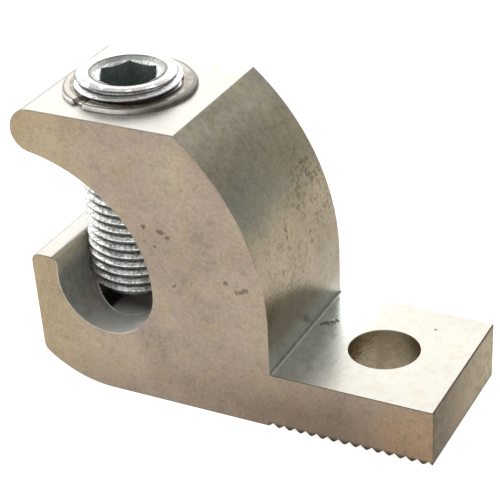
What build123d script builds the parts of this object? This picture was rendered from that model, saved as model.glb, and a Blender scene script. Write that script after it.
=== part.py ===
from build123d import *
from math import atan2, cos, degrees, radians, sin, sqrt, tan
import os

# Lay-in earthing clamp: a sawn length of extruded aluminium with an open throat for the
# earth conductor, a flat tang with one bolt hole, and a socket screw that closes on the conductor.
#
# Units are millimetres. The origin is on the bolt hole's axis, in the plane the lug stands on.
# +X runs along the tang to its free end, +Y across the sawn width, +Z up the clamping screw.

# Lug, overall
lug_width = 25.4
lug_height = 44.4

# Tang: the flat end that is bolted down
tang_length = 24.9
tang_thickness = 8.9
bolt_hole_radius = 5.25
hole_to_wall = 12.45
corner_radius = 0.4

# Serrations across the underside of the tang
serration_pitch = 1.715
serration_depth = 0.7
serration_count = 15
serration_start = 0.3

# Curved back of the clamp, tangent to the wall that stands on the tang
back_radius = 37.0
back_spring_height = 15.9

# Throat: round seat, flaring up and out to the mouth under the nose
heel_thickness = 18.5
floor_thickness = 9.8
throat_radius = 8.0
flare_radius = 18.2
flare_angle = 45.0
nose_radius = 3.4
nose_reach = 36.7

# Lip on the open side of the throat
lip_thickness = 4.4
lip_height = 20.7
lip_round = 1.25
side_lean = 2.6
heel_round = 2.0

# Clamping screw
thread_diameter = 15.875
thread_pitch = 1.411
thread_depth = 0.87
ringed_length = 23.0
tap_drill_radius = 7.1
screw_length = 33.8
screw_offset = 0.8
screw_gap = 2.9
tip_chamfer = 1.6
top_chamfer = 0.35
socket_across_flats = 7.94
socket_depth = 8.0
socket_turn = -3.0
socket_mouth_radius = 5.6
socket_mouth_slope = 30.0

# How the two fit
thread_clearance = 0.05
thread_end_gap = 0.3
drill_mark_depth = 0.1
rim_width = 2.0
rim_height = 0.7
rim_round = 0.6

wall_x = -hole_to_wall
tang_end_x = wall_x + tang_length
throat = Vector(wall_x - heel_thickness - throat_radius, floor_thickness + throat_radius)
screw_x = throat.X - screw_offset
screw_tip_z = floor_thickness + screw_gap
screw_radius = thread_diameter / 2
screw_hole_radius = screw_radius + thread_clearance


def towards(angle):
    """Unit vector at an angle in degrees, anticlockwise from +X."""
    return Vector(cos(radians(angle)), sin(radians(angle)))


def angle_of(vector):
    return degrees(atan2(vector.Y, vector.X))


def lug_outline():
    """Side view of the extrusion, with X along the tang and Y up."""
    back_rise = lug_height - back_spring_height
    back_centre = Vector(wall_x - back_radius, back_spring_height)
    back_top = back_centre + Vector(sqrt(back_radius**2 - back_rise**2), back_rise)

    # The flare leaves the seat at its back, level with the seat's centre.
    flare_centre = Vector(throat.X + throat_radius - flare_radius, throat.Y)
    flare_end = flare_centre + towards(flare_angle) * flare_radius

    # The mouth arc continues the flare and runs out tangent to the round nose.
    nose = Vector(wall_x - nose_reach, lug_height - nose_radius)
    run = nose - flare_end
    drop = towards(flare_angle).dot(run)
    mouth_radius = (run.dot(run) - nose_radius**2) / (2 * (nose_radius - drop))
    mouth_centre = flare_end - towards(flare_angle) * mouth_radius
    nose_end_angle = angle_of(nose - mouth_centre)

    # The open side leans inwards from the lip until it meets the arc under the seat.
    lip_foot = Vector(throat.X - throat_radius, throat.Y)
    lip_inner = Vector(lip_foot.X, lip_height)
    lip_outer = lip_inner - Vector(lip_thickness, 0)
    cradle_radius = floor_thickness + throat_radius
    lean = towards(side_lean - 90)
    from_throat = lip_outer - throat
    along = from_throat.dot(lean)
    reach = sqrt(along**2 - from_throat.dot(from_throat) + cradle_radius**2) - along
    side_foot = lip_outer + lean * reach
    side_foot_angle = angle_of(side_foot - throat)

    edges = [
        Line((throat.X, 0), (tang_end_x, 0)),
        Line((tang_end_x, 0), (tang_end_x, tang_thickness)),
        Line((tang_end_x, tang_thickness), (wall_x, tang_thickness)),
        Line((wall_x, tang_thickness), (wall_x, back_spring_height)),
        CenterArc(back_centre, back_radius, 0, angle_of(back_top - back_centre)),
        Line(back_top, (nose.X, lug_height)),
        CenterArc(nose, nose_radius, 90, 90 + nose_end_angle),
        CenterArc(mouth_centre, mouth_radius, flare_angle, nose_end_angle - flare_angle),
        CenterArc(flare_centre, flare_radius, 0, flare_angle),
        CenterArc(throat, throat_radius, 180, 180),
        FilletPolyline(lip_foot, lip_inner, lip_outer, side_foot, radius=lip_round),
        CenterArc(throat, cradle_radius, side_foot_angle, -90 - side_foot_angle),
    ]
    outline = make_face(edges)
    outline = fillet(outline.vertices().sort_by_distance(side_foot)[0], heel_round)
    return fillet(outline.vertices().sort_by_distance((wall_x, tang_thickness))[0], corner_radius)


def serrations():
    """V grooves across the tang, each as wide as the pitch, so that they meet in sharp ridges."""
    groove = Polygon(
        (-serration_pitch / 2, 0), (0, serration_depth), (serration_pitch / 2, 0), align=None
    )
    first_x = wall_x + serration_start
    row = [Pos(first_x + i * serration_pitch, 0) * groove for i in range(serration_count)]
    return [extrude(Plane.XZ * v, lug_width / 2, both=True) for v in row]


def lug_body():
    """Extruded lug, sawn to width, serrated, then drilled and tapped from the top."""
    up = (Align.CENTER, Align.CENTER, Align.MIN)
    lug = extrude(Plane.XZ * lug_outline(), lug_width / 2, both=True)
    lug -= serrations()
    lug -= Cylinder(bolt_hole_radius, tang_thickness, align=up)

    # Tapping raised a rounded rim around the screw's hole.
    rim = Pos(screw_x, 0, lug_height) * Cylinder(screw_hole_radius + rim_width, rim_height, align=up)
    rim = fillet(rim.edges().group_by(Axis.Z)[-1], rim_round)
    lug += rim

    # The tap drill went on until it marked the floor of the throat.
    mark_z = floor_thickness + drill_mark_depth
    drill_run = lug_height - mark_z
    lug -= Pos(screw_x, 0, mark_z) * Cylinder(tap_drill_radius, drill_run, align=up)

    # The thread also bites into both walls of the seat, and its tapered end stops the screw there.
    taper = screw_hole_radius - tap_drill_radius
    thread_end_z = screw_tip_z + tip_chamfer - thread_end_gap - (screw_radius - tap_drill_radius)
    lug -= Pos(screw_x, 0, thread_end_z) * Cone(
        tap_drill_radius, screw_hole_radius, taper, align=up
    )
    tapped_run = lug_height + rim_height - thread_end_z - taper
    lug -= Pos(screw_x, 0, thread_end_z + taper) * Cylinder(screw_hole_radius, tapped_run, align=up)
    return lug


def screw_outline():
    """Half section of the screw from its tip up.

    Rings a pitch apart stand for the thread's helix, as far up as the thread shows under the jaw.
    """
    outline = [(0, 0), (screw_radius - tip_chamfer, 0)]
    ring_count = int((ringed_length - tip_chamfer) / thread_pitch)
    for i in range(ring_count):
        crest = tip_chamfer + i * thread_pitch
        outline.append((screw_radius, crest))
        outline.append((screw_radius - thread_depth, crest + thread_pitch / 2))
    outline.append((screw_radius, tip_chamfer + ring_count * thread_pitch))
    outline.append((screw_radius, screw_length - top_chamfer))
    outline.append((screw_radius - top_chamfer, screw_length))
    outline.append((0, screw_length))
    return Polygon(*outline, align=None)


def clamp_screw():
    """Headless screw with a hexagon socket in its top and a chamfered tip."""
    down = (Align.CENTER, Align.CENTER, Align.MAX)
    screw = revolve(Plane.XZ * screw_outline(), Axis.Z)

    socket = RegularPolygon(socket_across_flats / 2, 6, major_radius=False, rotation=socket_turn)
    mouth_depth = socket_mouth_radius * tan(radians(socket_mouth_slope))
    top = Pos(0, 0, screw_length)
    screw -= top * extrude(socket, -socket_depth)
    screw -= top * Cone(0, socket_mouth_radius, mouth_depth, align=down)
    return Pos(screw_x, 0, screw_tip_z) * screw


os.makedirs("parts", exist_ok=True)
export_step(lug_body(), "parts/lug_body.step")
export_step(clamp_screw(), "parts/clamp_screw.step")
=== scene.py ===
from math import atan2, ceil, cos, degrees, pi, radians, sin, sqrt, tan

import bmesh
import bpy
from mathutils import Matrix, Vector


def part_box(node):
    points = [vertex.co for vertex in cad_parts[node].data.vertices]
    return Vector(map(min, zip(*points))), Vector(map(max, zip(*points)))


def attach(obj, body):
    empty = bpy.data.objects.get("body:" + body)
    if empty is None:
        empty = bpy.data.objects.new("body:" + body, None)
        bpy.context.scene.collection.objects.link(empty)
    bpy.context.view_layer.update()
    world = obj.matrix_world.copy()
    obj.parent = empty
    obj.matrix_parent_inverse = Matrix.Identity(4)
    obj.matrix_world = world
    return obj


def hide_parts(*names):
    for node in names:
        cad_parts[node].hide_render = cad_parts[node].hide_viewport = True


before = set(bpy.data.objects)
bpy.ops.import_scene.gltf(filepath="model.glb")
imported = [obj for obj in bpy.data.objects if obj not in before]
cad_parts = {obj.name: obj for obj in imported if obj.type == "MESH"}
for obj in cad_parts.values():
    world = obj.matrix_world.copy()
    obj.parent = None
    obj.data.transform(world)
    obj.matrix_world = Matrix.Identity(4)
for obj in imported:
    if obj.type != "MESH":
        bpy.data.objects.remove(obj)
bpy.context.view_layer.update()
scene = bpy.context.scene
scene.view_settings.view_transform = "Standard"

# Studio. A long lens looks down on the clamp's front sawn face and on the end of its tang. The
# clamp stands on a pale table. A large softbox behind it lights the flats, and a smaller, brighter
# one on the left picks out the screw's thread.
camera = bpy.data.objects.new("camera", bpy.data.cameras.new("camera"))
camera.data.sensor_width = 36.0
camera.data.lens = 125.47
camera.data.clip_start = 0.01
camera.location = (0.08119, -0.19835, 0.14687)
camera.rotation_euler = (radians(60.553), radians(2.220), radians(26.065))
scene.collection.objects.link(camera)
scene.camera = camera


def softbox(name, place, size, radiance):
    """A square area light that faces the clamp; its power follows from its size and brightness."""
    light = bpy.data.lights.new(name, "AREA")
    light.size = size
    light.energy = radiance * pi * size**2
    lamp = bpy.data.objects.new(name, light)
    lamp.location = place
    lamp.rotation_euler = Vector(place).to_track_quat("Z", "Y").to_euler()
    scene.collection.objects.link(lamp)


softbox("flats_softbox", (-0.42, 0.68, 0.47), 0.75, 2.6)
softbox("thread_softbox", (-0.75, -0.05, 0.45), 0.40, 5.0)

world = bpy.data.worlds.new("studio")
world.use_nodes = True
world.node_tree.nodes["Background"].inputs["Color"].default_value = (0.78, 0.79, 0.79, 1.0)
scene.world = world

table_half = 3.0
table_mesh = bpy.data.meshes.new("table")
table_mesh.from_pydata(
    [(-table_half, -table_half, 0), (table_half, -table_half, 0),
     (table_half, table_half, 0), (-table_half, table_half, 0)],
    [], [(0, 1, 2, 3)],
)
table = bpy.data.objects.new("table", table_mesh)
scene.collection.objects.link(table)
table_white = bpy.data.materials.new("table_white")
table_white.use_nodes = True
table_shader = table_white.node_tree.nodes["Principled BSDF"]
table_shader.inputs["Base Color"].default_value = (0.35, 0.35, 0.35, 1.0)
table_shader.inputs["Roughness"].default_value = 0.9
table_shader.inputs["Emission Color"].default_value = (1.0, 1.0, 1.0, 1.0)
table_shader.inputs["Emission Strength"].default_value = 0.85
table_mesh.materials.append(table_white)


# Clamping screw. A headless socket screw of plated steel with a rolled thread of 18 turns to the
# inch, turned down through the tapped jaw until it holds the conductor. Its top has a hexagon
# socket with a countersunk mouth, and its tip is chamfered.
class Field:
    """A node socket that arithmetic can be written on."""

    def __init__(self, socket):
        self.socket = socket

    def node(self, kind, inputs=None, output=0, **settings):
        """Add a node, make its settings, then fill its inputs, and return one of its outputs."""
        tree = self.socket.id_data
        made = tree.nodes.new(kind)
        for name, value in settings.items():
            setattr(made, name, value)
        for key, value in (inputs or {}).items():
            if isinstance(value, Field):
                tree.links.new(value.socket, made.inputs[key])
            else:
                made.inputs[key].default_value = value
        return Field(made.outputs[output])

    def math(self, operation, *values):
        return self.node("ShaderNodeMath", dict(enumerate((self, *values))), operation=operation)

    def __add__(self, other):
        return self.math("ADD", other)

    def __radd__(self, other):
        return self.math("ADD", other)

    def __sub__(self, other):
        return self.math("SUBTRACT", other)

    def __rsub__(self, other):
        return self.math("MULTIPLY_ADD", -1.0, other)

    def __mul__(self, other):
        return self.math("MULTIPLY", other)

    def __rmul__(self, other):
        return self.math("MULTIPLY", other)

    def __truediv__(self, other):
        return self.math("DIVIDE", other)

    def __pow__(self, other):
        return self.math("POWER", other)

    def __neg__(self):
        return self.math("MULTIPLY", -1.0)

    def __abs__(self):
        return self.math("ABSOLUTE")

    def __gt__(self, other):
        return self.math("GREATER_THAN", other)

    def __lt__(self, other):
        return self.math("LESS_THAN", other)


def parts(vector):
    """The three numbers of a vector field."""
    split = vector.node("ShaderNodeSeparateXYZ", {0: vector}).socket.node
    return [Field(number) for number in split.outputs]


def pick(chosen, one, other):
    """One number where chosen is 1, the other where it is 0."""
    return other + chosen * (one - other)


def rise(value, low, high):
    """0 below low, 1 above high, and a smooth step between them."""
    return value.node("ShaderNodeMapRange", {0: value, 1: low, 2: high},
                      interpolation_type="SMOOTHSTEP")


def tint(mask, colour, base):
    """The base colour, with another colour laid over it where the mask is 1."""
    base, colour = [end if isinstance(end, Field) else (*end, 1.0) for end in (base, colour)]
    return mask.node("ShaderNodeMix", {0: mask, 6: base, 7: colour}, output=2, data_type="RGBA")


def either(*masks):
    """The strongest of several masks."""
    strongest = masks[0]
    for mask in masks[1:]:
        strongest = strongest.math("MAXIMUM", mask)
    return strongest


def off_line(across, along, centre_across=0.0, centre_along=0.0):
    """Distance from a line that runs straight through the piece, in millimetres."""
    return ((across - centre_across) ** 2 + (along - centre_along) ** 2).math("SQRT")


def grain(place, scale, detail=3.0, stretch=(1.0, 1.0, 1.0)):
    """Noise of so many spots a millimetre, drawn out where stretch is small."""
    drawn = place.node("ShaderNodeVectorMath", {0: place, 1: stretch}, operation="MULTIPLY")
    return place.node("ShaderNodeTexNoise", {"Vector": drawn, "Scale": scale, "Detail": detail})


def stain(place, centre, size):
    """A soft-edged blot round one place, in millimetres."""
    away = place.node("ShaderNodeVectorMath", {0: place, 1: centre}, output="Value",
                      operation="DISTANCE")
    return 1 - rise(away, size * 0.4, size)


def metal(name):
    """A bare metal: the material, its shader and the place on the piece in millimetres."""
    material = bpy.data.materials.new(name)
    material.use_nodes = True
    shader = material.node_tree.nodes["Principled BSDF"]
    shader.inputs["Metallic"].default_value = 1.0
    coordinates = material.node_tree.nodes.new("ShaderNodeTexCoord")
    metres = Field(coordinates.outputs["Object"])
    place = metres.node("ShaderNodeVectorMath", {0: metres, "Scale": 1000.0}, operation="SCALE")
    return material, shader, place


def finish(shader, colour, roughness, height, depth, metallic=None):
    """Join colour, roughness, relief, whose depth is in metres, and metalness to a shader."""
    tree = shader.id_data
    normal = height.node("ShaderNodeBump", {"Height": height, "Strength": 1.0, "Distance": depth})
    tree.links.new(colour.socket, shader.inputs["Base Color"])
    tree.links.new(roughness.socket, shader.inputs["Roughness"])
    tree.links.new(normal.socket, shader.inputs["Normal"])
    if metallic is not None:
        tree.links.new(metallic.socket, shader.inputs["Metallic"])


def geometry_tree(name, sizes):
    """An empty tree with a named input for each size; returns it and its input fields."""
    tree = bpy.data.node_groups.new(name, "GeometryNodeTree")
    tree.interface.new_socket("Geometry", in_out="INPUT", socket_type="NodeSocketGeometry")
    tree.interface.new_socket("Geometry", in_out="OUTPUT", socket_type="NodeSocketGeometry")
    for size in sizes:
        tree.interface.new_socket(size, in_out="INPUT", socket_type="NodeSocketFloat")
    start = tree.nodes.new("NodeGroupInput")
    return tree, {socket.name: Field(socket) for socket in start.outputs if socket.name}


def grid_rings(any_field, columns, rows):
    """A flat grid to be bent round an axis, with each point's row number and angle."""
    grid = any_field.node("GeometryNodeMeshGrid", {
        "Size X": float(columns), "Size Y": float(rows - 1),
        "Vertices X": columns + 1, "Vertices Y": rows})
    across, along, _ = parts(any_field.node("GeometryNodeInputPosition"))
    row = along + (rows - 1) / 2
    turn = across / columns + 0.5
    return grid, row, turn


def turned(grid, turn, radius, height, axis_x):
    """Bend the grid round an upright axis and weld its seam and its two poles."""
    angle = turn * (2 * pi)
    spot = radius.node("ShaderNodeCombineXYZ", {
        "X": radius * angle.math("COSINE") + axis_x,
        "Y": radius * angle.math("SINE"),
        "Z": height})
    bent = grid.node("GeometryNodeSetPosition", {"Geometry": grid, "Position": spot})
    return grid.node("GeometryNodeMergeByDistance", {"Geometry": bent, "Distance": 1e-6})


def helix_rings(sizes, columns, rows, per_pitch):
    """Rings that climb with the thread, held level at its bottom and its top.

    Returns the grid, the row number, the turn, the height and the thread's radius.
    """
    grid, row, turn = grid_rings(sizes["pitch"], columns, rows)
    climbing = sizes["bottom"] + sizes["pitch"] * ((row - 1) / per_pitch + turn - 1)
    height = climbing.math("MAXIMUM", sizes["bottom"]).math("MINIMUM", sizes["top"])
    phase = height / sizes["pitch"] - turn - sizes["thread start"]
    off_crest = abs((phase + 0.5).math("FRACT") - 0.5)
    crest_half, flank_run = 1 / 16, 5 / 16
    flank = ((off_crest - crest_half) / flank_run).math("MAXIMUM", 0.0).math("MINIMUM", 1.0)
    return grid, row, turn, height, sizes["radius"] - flank * sizes["groove"]


def finished(tree, mesh, crease, material):
    """End a tree: smooth faces, hard edges above the crease angle, and the material."""
    smooth = mesh.node("GeometryNodeSetShadeSmooth", {"Geometry": mesh, "Shade Smooth": True})
    bend = mesh.node("GeometryNodeInputMeshEdgeAngle")
    creased = mesh.node("GeometryNodeSetShadeSmooth", {
        "Geometry": smooth, "Selection": bend > radians(crease), "Shade Smooth": False},
        domain="EDGE")
    real = mesh.node("GeometryNodeRealizeInstances", {"Geometry": creased})
    coated = mesh.node("GeometryNodeSetMaterial", {"Geometry": real, "Material": material})
    tree.links.new(coated.socket, tree.nodes.new("NodeGroupOutput").inputs[0])


def built(name, tree, sizes, blank=None):
    """Run a tree with these sizes, lengths in metres, and keep its result as a plain object."""
    piece = bpy.data.objects.new(name, blank or bpy.data.meshes.new(name + "_blank"))
    scene.collection.objects.link(piece)
    modifier = piece.modifiers.new(name, "NODES")
    modifier.node_group = tree
    for item in tree.interface.items_tree:
        if item.in_out == "INPUT" and item.name in sizes:
            modifier[item.identifier] = sizes[item.name]
    bpy.context.view_layer.update()
    evaluated = piece.evaluated_get(bpy.context.evaluated_depsgraph_get())
    mesh = bpy.data.meshes.new_from_object(evaluated)
    piece.modifiers.remove(modifier)
    piece.data = mesh
    mesh.name = name
    return piece


mm = 0.001
screw_low, screw_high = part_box("clamp_screw")
screw_x = (screw_low[0] + screw_high[0]) / 2
screw_radius = (screw_high[0] - screw_low[0]) / 2
screw_tip = screw_low[2]
top_raise = 0.3 * mm
screw_top = screw_high[2] + top_raise
screw_centre = screw_x / mm
thread_pitch = 25.4 * mm / 18
thread_start = 0.44
socket_wall, socket_mouth = 4.8, 5.55
socket_turn, mouth_slope = -3.0, 30
worn_heading = radians(-64)

screw_steel, shader, place = metal("plated_steel")
x, y, z = parts(place)
below_top = screw_top / mm - z
from_axis = off_line(x, y, screw_centre)
speckle = grain(place, 2.4, 5.0)
patches = grain(place, 0.55, 3.0)

# Plating: patchy and speckled, with painted shade in the roots of the thread.
colour = tint(rise(patches, 0.35, 0.7), (0.56, 0.57, 0.54), (0.84, 0.84, 0.82))
colour = tint(rise(speckle, 0.50, 0.64) * 0.7, (0.20, 0.21, 0.195), colour)
colour = tint((1 - rise(speckle, 0.38, 0.45)) * 0.8, (1.0, 1.0, 0.98), colour)
root_shade = (1 - rise(from_axis, 7.1, 7.6)) * rise(below_top, 0.5, 0.9)
colour = tint(root_shade * 0.85, (0.06, 0.068, 0.06), colour)

# The top: duller, worn at the front, with painted shade in the crease under it and a dark line round
# the socket.
on_top = 1 - rise(below_top, 0.3, 0.5)
colour = tint(on_top * 0.9, (0.34, 0.34, 0.325), colour)
colour = tint(on_top * rise(patches, 0.45, 0.65) * 0.6, (0.22, 0.222, 0.21), colour)
worn_side = (x - screw_centre) * cos(worn_heading) + y * sin(worn_heading)
worn = on_top * rise(from_axis, 6.3, 6.7) * rise(worn_side, 2.0, 5.5)
worn = worn * rise(patches + (speckle - 0.5) * 0.5, 0.34, 0.5)
colour = tint(worn * 0.9, (0.125, 0.112, 0.098), colour)
groove_shade = rise(below_top, 0.34, 0.42) * (1 - rise(below_top, 0.48, 0.6)) * (from_axis > 7.0)
colour = tint(groove_shade * 0.8, (0.12, 0.11, 0.10), colour)
# Painted highlight: the first crest of the thread under the top is near white.
crest_highlight = rise(below_top, 0.5, 0.65) * (1 - rise(below_top, 1.5, 1.7)) * (from_axis > 7.3)
colour = tint(crest_highlight, (0.97, 0.965, 0.95), colour)
# Painted shade: the socket's inside is dark grey-green, with lighter speckles.
socket_shade = (from_axis < socket_wall) * rise(below_top, 0.55, 1.0)
colour = tint(socket_shade, (0.20, 0.24, 0.21), colour)
colour = tint(socket_shade * rise(speckle, 0.5, 0.6), (0.29, 0.33, 0.29), colour)
mouth_line = (1 - rise(abs(from_axis - socket_mouth), 0.08, 0.3)) * (below_top < 0.4)
colour = tint(mouth_line * 0.8, (0.09, 0.10, 0.085), colour)
rust = stain(place, (screw_centre + 5.0, -6.4, 45.0), 4.2) * rise(below_top, 1.5, 1.9)
colour = tint(rust * rise(speckle, 0.34, 0.5), (0.20, 0.115, 0.07), colour)
roughness = speckle * 0.3 + 0.18 + root_shade * 0.2 + rust * 0.2 + socket_shade * 0.3
finish(shader, colour, roughness, speckle * 0.7 + patches * 0.3, 0.00012)

columns, per_pitch = 120, 16
helix_rows = ceil(per_pitch * ((screw_top - screw_tip) / thread_pitch + 1)) + 1
mouth_rings = [(5.75, 0.0), (5.65, 0.10), (5.50, 0.12), (5.40, 0.04)]
socket_row = helix_rows + len(mouth_rings)
tree, sizes = geometry_tree("screw_turning", [
    "pitch", "thread start", "radius", "groove", "bottom", "top", "tip chamfer", "top chamfer",
    "hexagon apothem", "socket depth"])
grid, row, turn, height, radius = helix_rings(sizes, columns, socket_row + 4, per_pitch)
tip_limit = sizes["radius"] - sizes["tip chamfer"] + height - sizes["bottom"]
top_limit = sizes["radius"] - sizes["top chamfer"] + sizes["top"] - height
radius = radius.math("MINIMUM", tip_limit).math("MINIMUM", top_limit)
for number, (ring_radius, drop) in enumerate(mouth_rings):
    reached = row > helix_rows + number + 0.5
    radius = pick(reached, ring_radius * mm, radius)
    height = pick(reached, sizes["top"] - drop * mm, height)
sixth = turn * 6 - socket_turn / 60
off_flat = (sixth.math("FRACT") - 0.5) * (pi / 3)
hexagon = sizes["hexagon apothem"] / off_flat.math("COSINE")
in_socket = row > socket_row + 0.5
radius = pick(in_socket, hexagon, radius)
mouth_drop = (mouth_rings[-1][0] * mm - hexagon) * tan(radians(mouth_slope))
height = pick(in_socket, sizes["top"] - mouth_drop, height)
height = pick(row > socket_row + 1.5, sizes["top"] - sizes["socket depth"], height)
radius = radius * (row > 0.5) * (row < socket_row + 2.5)
finished(tree, turned(grid, turn, radius, height, screw_x), 25, screw_steel)
screw = built("socket_screw", tree, {
    "pitch": thread_pitch, "thread start": thread_start, "radius": screw_radius,
    "groove": 0.87 * mm, "bottom": screw_tip, "top": screw_top, "tip chamfer": 1.6 * mm,
    "top chamfer": 0.35 * mm, "hexagon apothem": 4.05 * mm, "socket depth": 8.0 * mm})
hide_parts("clamp_screw")
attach(screw, "screw")


# Lug. A length of aluminium extrusion, sawn to width and deburred, with a throat for the earth
# conductor on its open side and a flat tang. The tang is serrated underneath and drilled, and the
# jaw is drilled and tapped, which left a rim round the screw and a drill mark in the throat.
_, lug_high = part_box("lug_body")
half_width = lug_high[1] / mm
tang_end = lug_high[0] / mm
tang_length, heel_thickness, floor_thickness = 24.9, 18.5, 9.8
wall_x = tang_end - tang_length
tang_top, lug_top = 8.9, 44.4
edge_round, tang_round = 0.3, 0.6
throat_radius = 8.0
throat_x = wall_x - heel_thickness - throat_radius
throat_z = floor_thickness + throat_radius
hole_radius = 5.25
rim_radius, rim_height = 9.9, 0.7
serration_count, first_serration = 15, 0.3

# Dents and specks: across and up on the sawn face, and in the round on the back and the tang.
front_marks = [
    (-28.8, 28.8, 0.7), (-31.5, 29.3, 0.5), (-27.7, 28.2, 0.45), (-29.9, 26.3, 0.45),
    (-31.4, 26.8, 0.4), (-18.8, 22.7, 0.4), (-27.0, 20.5, 0.35),
    (-17.2, 21.6, 0.5), (-16.5, 21.8, 0.5), (-15.8, 22.1, 0.6)]
back_marks = [
    (-16.4, 7.6, 32.6, 0.5), (-16.1, 7.9, 31.9, 0.6), (-15.8, 8.2, 31.2, 0.65),
    (-15.5, 8.5, 30.5, 0.7), (-15.2, 8.8, 29.8, 0.7), (-17.4, 8.0, 34.6, 0.4),
    (-13.3, 4.0, 23.8, 0.6), (-13.0, 3.9, 22.2, 0.5), (-14.2, -2.5, 27.2, 0.5),
    (-13.9, -2.8, 26.3, 0.5), (-13.0, -6.0, 22.2, 0.45), (-13.4, 9.5, 25.3, 0.45),
    (-11.3, 2.9, 8.9, 0.7), (-10.7, 3.4, 8.9, 0.85), (-10.1, 4.0, 8.9, 0.75),
    (-9.6, 4.5, 8.9, 0.5), (5.1, 7.8, 8.9, 0.3)]


def arc(centre, radius, start, end):
    """Points along an arc, from one angle to another in degrees, about 0.6 mm apart or closer."""
    sweep = radians(end - start)
    count = max(ceil(abs(sweep) * radius / 0.6), ceil(abs(end - start) / 8))
    angles = [radians(start) + sweep * i / count for i in range(count + 1)]
    return [Vector((centre[0] + radius * cos(a), centre[1] + radius * sin(a))) for a in angles]


def heading(vector):
    return degrees(atan2(vector.y, vector.x))


def tang_points():
    """From the tang's lower end corner, over its end and top, to the foot of the wall."""
    inner_round = 0.4
    end_x = tang_end - edge_round
    return (
        arc((end_x, edge_round), edge_round, -90, 0)
        + arc((end_x, tang_top - edge_round), edge_round, 0, 90)
        + [Vector((wall_x + 2 * inner_round, tang_top))]
        + arc((wall_x + inner_round, tang_top + inner_round), inner_round, 270, 180)
    )


def back_points():
    """Up the curved back and over its rounded top corner to the flat above the jaw."""
    back_radius, spring_height, corner = 37.0, 15.9, 0.5
    centre = Vector((wall_x - back_radius, spring_height))
    corner_z = lug_top - corner
    corner_x = centre.x + sqrt((back_radius - corner) ** 2 - (corner_z - centre.y) ** 2)
    turn = heading(Vector((corner_x, corner_z)) - centre)
    return (
        arc(centre, back_radius, 0, turn)
        + arc((corner_x, corner_z), corner, turn, 90)[1:]
        + [Vector((corner_x - 0.3, lug_top))]
    )


def jaw_points(throat):
    """Round the nose and along the underside of the jaw, through the round seat to the lip."""
    nose_radius, nose_reach, flare_radius = 3.4, 36.7, 18.2
    nose = Vector((wall_x - nose_reach, lug_top - nose_radius))
    flare = Vector((throat.x + throat_radius - flare_radius, throat.y))
    outwards = Vector((1, 1)).normalized()
    run = nose - flare - outwards * flare_radius
    mouth_radius = (run.dot(run) - nose_radius**2) / (2 * (nose_radius - outwards.dot(run)))
    mouth = flare + outwards * (flare_radius - mouth_radius)
    nose_turn, flare_turn = heading(nose - mouth), heading(outwards)
    return (
        [Vector((nose.x + 0.3, lug_top))]
        + arc(nose, nose_radius, 90, 180 + nose_turn)
        + arc(mouth, mouth_radius, nose_turn, flare_turn)[1:]
        + arc(flare, flare_radius, flare_turn, 0)[1:]
        + arc(throat, throat_radius, 0, -180)[1:]
    )


def lip_points(throat):
    """Over the lip, down the leaning open side and round the heel to the base."""
    top, lip_thickness, lip_round, heel_round, lean = 20.7, 4.4, 1.25, 2.0, radians(2.6)
    cradle_radius = throat.y
    down = Vector((sin(lean), -cos(lean)))
    inwards = Vector((cos(lean), sin(lean)))
    inner_x = throat.x - throat_radius
    outer = Vector((inner_x - lip_thickness, top))
    outer_x = outer.x + lip_round * (1 + sin(lean)) / cos(lean)
    start = outer + inwards * heel_round - throat
    along = start.dot(down)
    reach = sqrt(along**2 - start.dot(start) + (cradle_radius - heel_round) ** 2) - along
    heel = throat + start + down * reach
    side_turn = 180 + degrees(lean)
    heel_turn = heading(heel - throat) % 360
    return (
        arc((inner_x - lip_round, top - lip_round), lip_round, 0, 90)
        + arc((outer_x, top - lip_round), lip_round, 90, side_turn)
        + arc(heel, heel_round, side_turn, heel_turn)
        + arc(throat, cradle_radius, heel_turn, 270)[1:]
    )


def lug_blank():
    """The sawn extrusion: its outline carried across the width, with both sawn edges eased.

    The far corner of the tang's end is rounded more.
    """
    throat = Vector((throat_x, throat_z))
    outline = tang_points() + back_points() + jaw_points(throat) + lip_points(throat)
    outline = [p for p, before in zip(outline, outline[-1:] + outline) if (p - before).length > 0.01]
    outwards = []
    for before, point, after in zip(outline[-1:] + outline, outline, outline[1:] + outline[:1]):
        along = (after - point).normalized() + (point - before).normalized()
        outwards.append(Vector((along.y, -along.x)).normalized())
    ease = 0.16
    depths = [(0.0, ease), (0.3 * ease, 0.3 * ease), (ease, 0.0)]
    layers = [(depth - half_width, inset) for depth, inset in depths]
    far_steps = [half_width - tang_round * (1 - sin(radians(a))) for a in range(0, 70, 12)]
    layers += [(y, 0.0) for y in far_steps if y < half_width - ease]
    layers += [(half_width - depth, inset) for depth, inset in reversed(depths)]
    build = bmesh.new()
    rings = []
    for y, inset in layers:
        past = max(0.0, y - half_width + tang_round)
        end_x = tang_end - tang_round + sqrt(tang_round**2 - past**2)
        ring = [point - out * inset for point, out in zip(outline, outwards)]
        rings.append([build.verts.new((min(p.x, end_x) * mm, y * mm, p.y * mm)) for p in ring])
    for near, far in zip(rings, rings[1:]):
        for i in range(len(outline)):
            build.faces.new((near[i - 1], near[i], far[i], far[i - 1]))
    build.faces.new(rings[0])
    build.faces.new(rings[-1])
    bmesh.ops.remove_doubles(build, verts=build.verts, dist=1e-7)
    bmesh.ops.recalc_face_normals(build, faces=build.faces)
    mesh = bpy.data.meshes.new("lug_blank")
    build.to_mesh(mesh)
    build.free()
    return mesh


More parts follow.
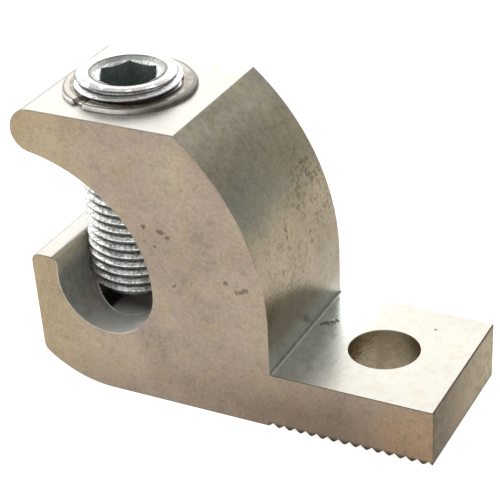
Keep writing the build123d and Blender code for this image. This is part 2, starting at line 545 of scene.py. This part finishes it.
def ringed(any_field, rings, columns, axis_x, shift=None, lift=None):
    """A turned form from its (radius, height) rings in millimetres, closed on its axis.

    shift and lift are functions of the turn that add to the radius and to the height.
    """
    grid, row, turn = grid_rings(any_field, columns, len(rings) + 2)
    radius, height = 0.0, rings[0][1] * mm
    for number, (ring_radius, ring_height) in enumerate(rings):
        reached = row > number + 0.5
        grown = ring_radius * mm if shift is None else shift(turn, ring_radius) * mm
        raised = ring_height * mm if lift is None else lift(turn, ring_height) * mm
        radius = pick(reached, grown, radius)
        height = pick(reached, raised, height)
    on_axis = row > len(rings) + 0.5
    radius = pick(on_axis, 0.0, radius)
    height = pick(on_axis, rings[-1][1] * mm, height)
    return turned(grid, turn, radius, height, axis_x)


lug_metal, shader, place = metal("extruded_aluminium")
x, y, z = parts(place)
facing_x, facing_y, facing_z = parts(place.node("ShaderNodeNewGeometry", output="Normal"))
cloud = grain(place, 0.11, 4.0)
mottle = grain(place, 0.75, 5.0)
fleck = grain(place, 2.2, 3.0)
specks = grain(place, 1.5, 2.0)
die_lines = grain(place, 1.6, 3.0, (1.0, 0.06, 1.0))
saw_lines = grain(place, 1.8, 3.0, (1.0, 1.0, 0.12))

# Extruded skin: tan low on the back, with painted reflection above it: greyer and darker half-way up,
# pale at its top corner.
colour = tint(rise(z, 37.5, 43.0), (0.36, 0.325, 0.255), (0.30, 0.245, 0.165))
mid_back_reflection = rise(z, 25.5, 33.0) * (1 - rise(z, 38.0, 43.0)) * (0.95 - rise(y, -9.0, 9.0) * 0.55)
colour = tint(mid_back_reflection * rise(cloud, 0.2, 0.5), (0.19, 0.185, 0.142), colour)
wide = grain(place, 0.3, 3.0)
colour = tint(rise(wide, 0.45, 0.62) * (1 - mid_back_reflection) * 0.35, (0.335, 0.285, 0.165), colour)
blots = rise(mottle, 0.48, 0.66) * (1 - rise(z, 30.0, 40.0)) * rise(z, 9.5, 12.0)
colour = tint(blots * 0.5, (0.15, 0.11, 0.065), colour)
soiled = either(stain(place, (-14.8, 9.0, 28.0), 11.0), stain(place, (-12.5, -4.0, 24.0), 9.0) * 0.6)
soiled = soiled * rise(specks + (wide - 0.5) * 0.6, 0.54, 0.68)
colour = tint(soiled * 0.75, (0.135, 0.10, 0.065), colour)
# Painted reflection: the upright wall is paler at its foot, above the tang.
wall_foot_reflection = (1 - rise(z, 10.5, 14.0)) * (x > wall_x - 0.2) * (x < wall_x + 0.3)
colour = tint(wall_foot_reflection, (0.365, 0.35, 0.29), colour)
# Painted shade: the inner corner between the tang's top and the wall is darkened.
corner = (x > wall_x - 0.1) * (x < wall_x + 0.45) * (z > tang_top + 0.01) * (z < tang_top + 0.5)
colour = tint(corner * 0.8, (0.15, 0.145, 0.12), colour)
flat = rise(facing_z, 0.85, 0.97)
colour = tint(flat, (0.312, 0.303, 0.272), colour)
colour = tint(flat * (z > 20.0), (0.288, 0.282, 0.258), colour)
colour = tint(flat * rise(mottle, 0.45, 0.7) * 0.45, (0.27, 0.235, 0.18), colour)
# Painted reflection: the tang's top is pale grey-green near the wall.
wall_reflection = flat * (1 - rise(x, -11.0, -3.0)) * (1 - rise(z, 9.0, 10.0))
colour = tint(wall_reflection, (0.49, 0.52, 0.49), colour)

# Painted shade: the tang's top edges and the rounded edges atop its end are darkened, and the end is
# painted darker towards the front. The end also has brown dirt in patches and is darker along its
# bottom edge.
tang_edge_shade = rise(abs(facing_y), 0.2, 0.3) * (1 - rise(abs(facing_y), 0.5, 0.7)) * (z > 8.4) * (z < 9.0)
end_edge_shade = rise(facing_x, 0.15, 0.3) * (1 - rise(facing_x, 0.97, 1.0)) * (z > 8.4) * (x > 11.0)
colour = tint(either(tang_edge_shade, end_edge_shade) * 0.9, (0.13, 0.095, 0.08), colour)
end = rise(facing_x, 0.75, 0.9) * (x > tang_end - 0.95)
end_dirt_and_shade = tint(rise(y, -14.0, 11.0), (0.37, 0.29, 0.15), (0.052, 0.03, 0.004))
end_dirt_and_shade = tint(rise(mottle, 0.45, 0.62) * 0.6, (0.17, 0.10, 0.04), end_dirt_and_shade)
end_dirt_and_shade = tint((1 - rise(z, 0.15, 0.9)) * 0.9, (0.02, 0.017, 0.012), end_dirt_and_shade)
colour = tint(end, end_dirt_and_shade, colour)

# Sawn faces: rosy tan, yellower at the nose and the lip, with painted shade low along the tang, where
# brown mottling is also stronger.
sawn = rise(abs(facing_y), 0.75, 0.9)
sawn_colour = tint(rise(-x, 36.0, 50.0), (0.41, 0.324, 0.207), (0.385, 0.31, 0.245))
sawn_colour = tint(rise(cloud, 0.5, 0.68) * 0.45, (0.33, 0.285, 0.20), sawn_colour)
sawn_colour = tint(rise(wide, 0.5, 0.66) * 0.4, (0.41, 0.33, 0.205), sawn_colour)
# Painted shade: the sawn faces darken low down along the tang.
tang_foot_shade = (1 - rise(z, 1.0, 16.0)) * rise(x, -30.0, -8.0)
sawn_colour = tint(tang_foot_shade * 0.8, (0.17, 0.125, 0.092), sawn_colour)
heel_shade = (1 - rise(z, 0.0, 9.0)) * 0.4
sawn_colour = tint(heel_shade, (0.24, 0.18, 0.13), sawn_colour)
warm = stain(place, (10.0, -half_width, 3.5), 8.0) * rise(mottle, 0.15, 0.5)
sawn_colour = tint(warm * 0.65, (0.35, 0.235, 0.135), sawn_colour)
brown = rise(mottle, 0.5, 0.7) * (0.28 + tang_foot_shade * 0.15)
sawn_colour = tint(brown, (0.18, 0.12, 0.08), sawn_colour)
# Darker along the serrated bottom edge, and darker again right at the bottom.
teeth_darkening = (1 - rise(z, 0.3, 1.0)) * rise(x, wall_x - 0.8, wall_x)
sawn_colour = tint(teeth_darkening * 0.85, (0.04, 0.032, 0.025), sawn_colour)
sawn_colour = tint((1 - rise(z, 0.05, 0.35)) * 0.6, (0.06, 0.05, 0.04), sawn_colour)
colour = tint(sawn, sawn_colour, colour)

# The throat and its lip, the bolt hole, and the rim round the screw.
throat_away = off_line(x, z, throat_x, throat_z)
in_throat = (1 - rise(throat_away, 8.3, 8.6)) * (1 - sawn)
inner_lip = (x > throat_x - 9.4) * (x < throat_x - 7.0) * (z > throat_z) * (facing_x > 0.5)
dull_seat = either(in_throat, inner_lip * (1 - sawn))
from_screw = off_line(x, y, screw_centre)
seat_colour = tint(rise(z, 16.5, 20.0), (0.49, 0.445, 0.33), (0.29, 0.285, 0.25))
floor = (1 - rise(z, 10.5, 14.5)) * rise(x, throat_x - 7.0, throat_x + 2.0)
seat_colour = tint(floor, (0.64, 0.63, 0.585), seat_colour)
# Painted shadow of the screw's tip on the throat's floor.
tip_shadow = (1 - rise(from_screw, 6.6, 7.1)) * (1 - rise(z, 11.5, 13.0)) * rise(y, -6.8, -3.2)
seat_colour = tint(tip_shadow * 0.85, (0.10, 0.065, 0.06), seat_colour)
# Painted light: the tap's notch in the jaw is lightened against the shade of its recess.
notch_lightening = (from_screw < 8.35) * rise(z, 10.0, 10.6) * (1 - sawn)
seat_colour = tint(notch_lightening * 0.8, (0.40, 0.345, 0.315), seat_colour)
# Painted highlight: a broken pale line along the edge of the drill mark.
drill_edge_highlight = (1 - rise(abs(from_screw - 7.25), 0.06, 0.2)) * (1 - rise(z, 14.0, 15.5))
seat_colour = tint(drill_edge_highlight * rise(fleck, 0.3, 0.5), (0.95, 0.93, 0.9), seat_colour)
colour = tint(dull_seat, seat_colour, colour)
# Painted highlight: a pale line on the eased edges of the throat and lip.
seat_edge_highlight = rise(abs(facing_y), 0.2, 0.3) * (1 - rise(abs(facing_y), 0.75, 0.95))
seat_edge_highlight = seat_edge_highlight * (throat_away < 8.7)
colour = tint(seat_edge_highlight, (0.85, 0.82, 0.72), colour)
from_hole = off_line(x, y)
in_hole = (from_hole < hole_radius + 0.35) * (1 - flat) * (z > 0.0)
colour = tint(in_hole, (0.37, 0.31, 0.215), colour)
hole_dirt = in_hole * rise(fleck, 0.5, 0.62) * rise(abs(x), 1.5, 4.0)
colour = tint(hole_dirt * 0.6, (0.10, 0.08, 0.05), colour)
on_rim = (z > lug_top + 0.06) * (from_screw < rim_radius + 0.9)
rim_colour = tint(rise(mottle, 0.4, 0.65), (0.10, 0.092, 0.072), (0.20, 0.185, 0.16))
tangward = rise(x, screw_centre + 3.0, screw_centre + 8.0)
# Painted highlight: away from the tang the rim's inner part is paler.
rim_colour = tint((1 - tangward) * rise(from_screw, 8.5, 8.7) * 0.8, (0.27, 0.235, 0.205), rim_colour)
rim_colour = tint(rise(from_screw, 9.25, 9.4), (0.075, 0.068, 0.055), rim_colour)
# Painted reflection: the rim's outer wall is near white, less so towards the tang.
rim_wall_reflection = (1 - rise(facing_z, 0.5, 0.8)) * (from_screw > 9.5)
rim_colour = tint(rim_wall_reflection * (1 - tangward * 0.8), (0.88, 0.845, 0.81), rim_colour)
rust = either(stain(place, (screw_centre + 5.4, -6.4, 45.2), 4.6),
              stain(place, (screw_centre + 7.5, 2.4, 45.2), 4.0) * 0.6)
rust = rust * rise(fleck, 0.35, 0.5) * (from_screw < 9.2)
rim_colour = tint(rust, (0.10, 0.055, 0.03), rim_colour)
colour = tint(on_rim, rim_colour, colour)

# Dents and specks of dirt.
wander = place.node("ShaderNodeTexNoise", {"Vector": place, "Scale": 1.3}, output="Color")
jagged = place.node("ShaderNodeVectorMath", {0: place, 1: wander})
jagged = place.node("ShaderNodeVectorMath", {0: jagged, 1: (0.5, 0.5, 0.5)}, operation="SUBTRACT")
marks = either(
    *[stain(jagged, (across, -half_width, up), size) for across, up, size in front_marks],
    *[stain(jagged, (across, along, up), size) for across, along, up, size in back_marks])
colour = tint(marks * 0.7, (0.11, 0.082, 0.055), colour)

tone = (cloud - 0.5) * 0.8 + (mottle - 0.5) * 0.75 + (fleck - 0.5) * 0.6 + 1.0
tone = pick(flat, 1 + (mottle - 0.5) * 0.3, tone)
colour = colour.node("ShaderNodeVectorMath", {0: colour, "Scale": tone}, operation="SCALE")
matt = either(dull_seat, seat_edge_highlight, end, on_rim * rim_wall_reflection * (1 - tangward))
roughness = pick(sawn, 0.5, 0.24 + cloud * 0.1) + (mottle - 0.5) * 0.15 + matt * 0.2
relief = pick(sawn, saw_lines * 0.6 + fleck * 0.5, die_lines * 0.25 + fleck * 0.25 + mottle * 0.3)
relief = relief * (1 - flat * 0.65) - marks * 0.8
finish(shader, colour, roughness, relief, 0.00007, metallic=1 - matt * 0.7)

tree, sizes = geometry_tree("lug_machining", [
    "pitch", "thread start", "radius", "groove", "bottom", "top", "drill radius",
    "serration pitch", "serration depth"])
blank = sizes["Geometry"]

# The tap: its grooves fade out inside the jaw, and it tapers into the drill's run at the bottom.
tap_bottom, tap_top, taper_start = 9.9 * mm, 48.0 * mm, 13.16 * mm
per_pitch = 8
tap_rows = ceil(per_pitch * ((tap_top - tap_bottom) / thread_pitch + 1)) + 3
grid, row, turn, height, radius = helix_rings(sizes, 96, tap_rows, per_pitch)
plain = sizes["radius"] - sizes["groove"]
radius = plain + (radius - plain) * (1 - rise(height, 30 * mm, 34 * mm))
radius = radius.math("MINIMUM", sizes["drill radius"] + (height - taper_start).math("MAXIMUM", 0.0))
radius = radius * (row > 0.5) * (row < tap_rows - 1.5)
tap = turned(grid, turn, radius, height, screw_x)

hole = ringed(blank, [
    (hole_radius + 0.85, -0.5), (hole_radius + 0.1, 0.25), (hole_radius, 0.35),
    (hole_radius, 8.8), (hole_radius + 0.06, 8.88), (hole_radius + 0.65, 9.4)], 96, 0.0)


def rim_break(turn):
    """1 at the break in the rim, at the front, and 0 away from it."""
    break_turn = -110 / 360
    away = abs((turn + (0.5 - break_turn)).math("FRACT") - 0.5) * 360
    return 1 - rise(away, 2.0, 8.0)


def rim_swell(turn, radius):
    """Outside the screw the rim is uneven, wider towards the tang and drawn in at its break."""
    if radius < screw_radius / mm:
        return radius
    angle = turn * (2 * pi)
    ripple = (angle * 5 + 0.7).math("SINE") * 0.05 + (angle * 11 + 2.0).math("SINE") * 0.03
    wider = (angle - radians(26)).math("COSINE") * 0.18
    return radius + (ripple + wider - rim_break(turn) * 0.6)


def rim_lift(turn, height):
    """The rim's top is uneven and lower at its break."""
    ripple = (turn * (2 * pi) * 4 + 1.9).math("SINE") * 0.04
    raised = max(0.0, height - lug_top) / rim_height
    return ripple * raised - rim_break(turn) * (0.35 * raised) + height


rim = ringed(blank, [
    (rim_radius + 0.05, lug_top - 1.0), (rim_radius, lug_top + 0.4),
    (rim_radius - 0.15, lug_top + 0.6), (rim_radius - 0.6, lug_top + rim_height),
    (8.5, lug_top + 0.72), (7.0, lug_top + rim_height)], 144, screw_x, rim_swell, rim_lift)

# The serrations: one V cutter, longer than the lug is wide, set a pitch apart under the tang.
# Before it is scaled, its three-sided section is the root of 3 wide and 1.5 high.
groove_share, cutter_length, cutter_height = 0.96, 40 * mm, 0.22 * mm
tooth = blank.node("GeometryNodeMeshCylinder", {
    "Vertices": 3, "Radius": 1.0, "Depth": cutter_length})
laid = blank.node("GeometryNodeTransform", {"Geometry": tooth, "Rotation": (0.0, 0.0, pi / 2)})
laid = blank.node("GeometryNodeTransform", {"Geometry": laid, "Rotation": (pi / 2, 0.0, 0.0)})
groove_width = sizes["serration pitch"] * (groove_share / sqrt(3))
groove_height = sizes["serration depth"] / 1.5
row_points = blank.node("GeometryNodeMeshLine", {
    "Count": serration_count,
    "Start Location": ((wall_x + first_serration) * mm, 0.0, cutter_height),
    "Offset": blank.node("ShaderNodeCombineXYZ", {"X": sizes["serration pitch"]})}, mode="OFFSET")
grooves = blank.node("GeometryNodeInstanceOnPoints", {
    "Points": row_points, "Instance": laid,
    "Scale": blank.node("ShaderNodeCombineXYZ", {"X": groove_width, "Y": 1.0, "Z": groove_height})})
grooves = blank.node("GeometryNodeRealizeInstances", {"Geometry": grooves})

body = blank.node("GeometryNodeMeshBoolean", {"Mesh 2": blank}, operation="UNION", solver="MANIFOLD")
tree.links.new(rim.socket, body.socket.node.inputs["Mesh 2"])
for cutter in (tap, hole, grooves):
    body = blank.node("GeometryNodeMeshBoolean", {"Mesh 1": body, "Mesh 2": cutter},
                      operation="DIFFERENCE", solver="MANIFOLD")
finished(tree, body, 12, lug_metal)
lug = built("extruded_lug", tree, {
    "pitch": thread_pitch, "thread start": thread_start, "radius": 8.25 * mm, "groove": 0.26 * mm,
    "bottom": tap_bottom, "top": tap_top, "drill radius": 7.1 * mm,
    "serration pitch": 1.715 * mm, "serration depth": 0.7 * mm}, lug_blank())
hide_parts("lug_body")
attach(lug, "lug")
